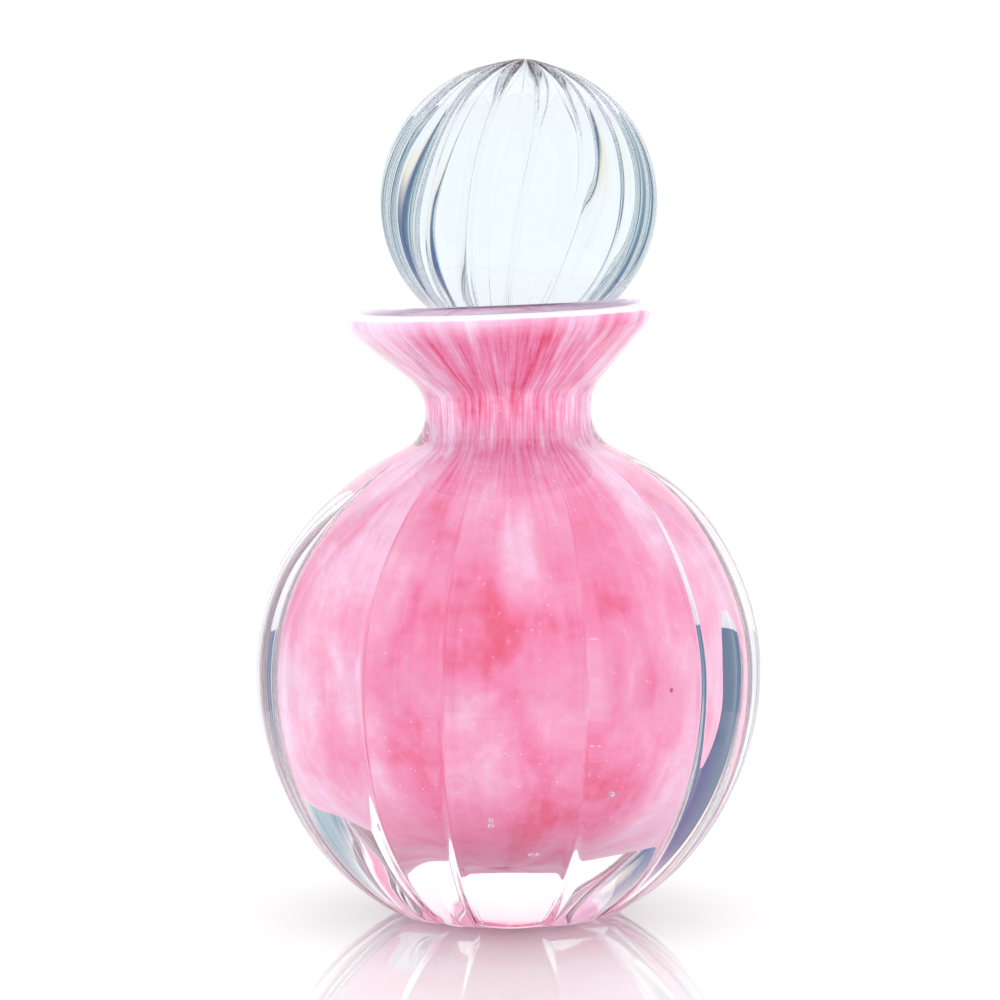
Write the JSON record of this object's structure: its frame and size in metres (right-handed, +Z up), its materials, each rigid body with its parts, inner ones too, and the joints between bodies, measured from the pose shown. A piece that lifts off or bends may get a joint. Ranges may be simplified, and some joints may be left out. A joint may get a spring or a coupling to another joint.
{
  "type": "perfume bottle",
  "caption": "Round perfume bottle of thick clear ribbed glass over a pink layer, with a flared mouth and a clear ribbed ball stopper that lifts out.",
  "frame": {"origin": "centre of the foot, on the surface the bottle stands on", "axes": "+Z up the bottle's axis, -Y towards the front, +X to the right seen from the front, which is the way the stopper leans"},
  "size_m": [0.076, 0.0762, 0.1285],
  "materials": {
    "clear_glass": "fire-polished clear glass with a faint grey-blue tint",
    "pink_glass": "cloudy pink glass with streaks and fine seeds, cased under clear glass",
    "ground_glass": "clear glass ground to a fine matt on the taper"
  },
  "bodies": {
    "bottle": {"clear_casing": "clear_glass", "pink_layer": "pink_glass", "inner_gather": "clear_glass"},
    "stopper": {"stopper_ball": "clear_glass", "stopper_peg": "ground_glass"}
  },
  "joints": [
    {"name": "stopper_lift", "type": "slide", "parent": "bottle", "child": "stopper", "axis": [0.0523, 0, 0.9986], "range_m": [0, 0.04]}
  ]
}
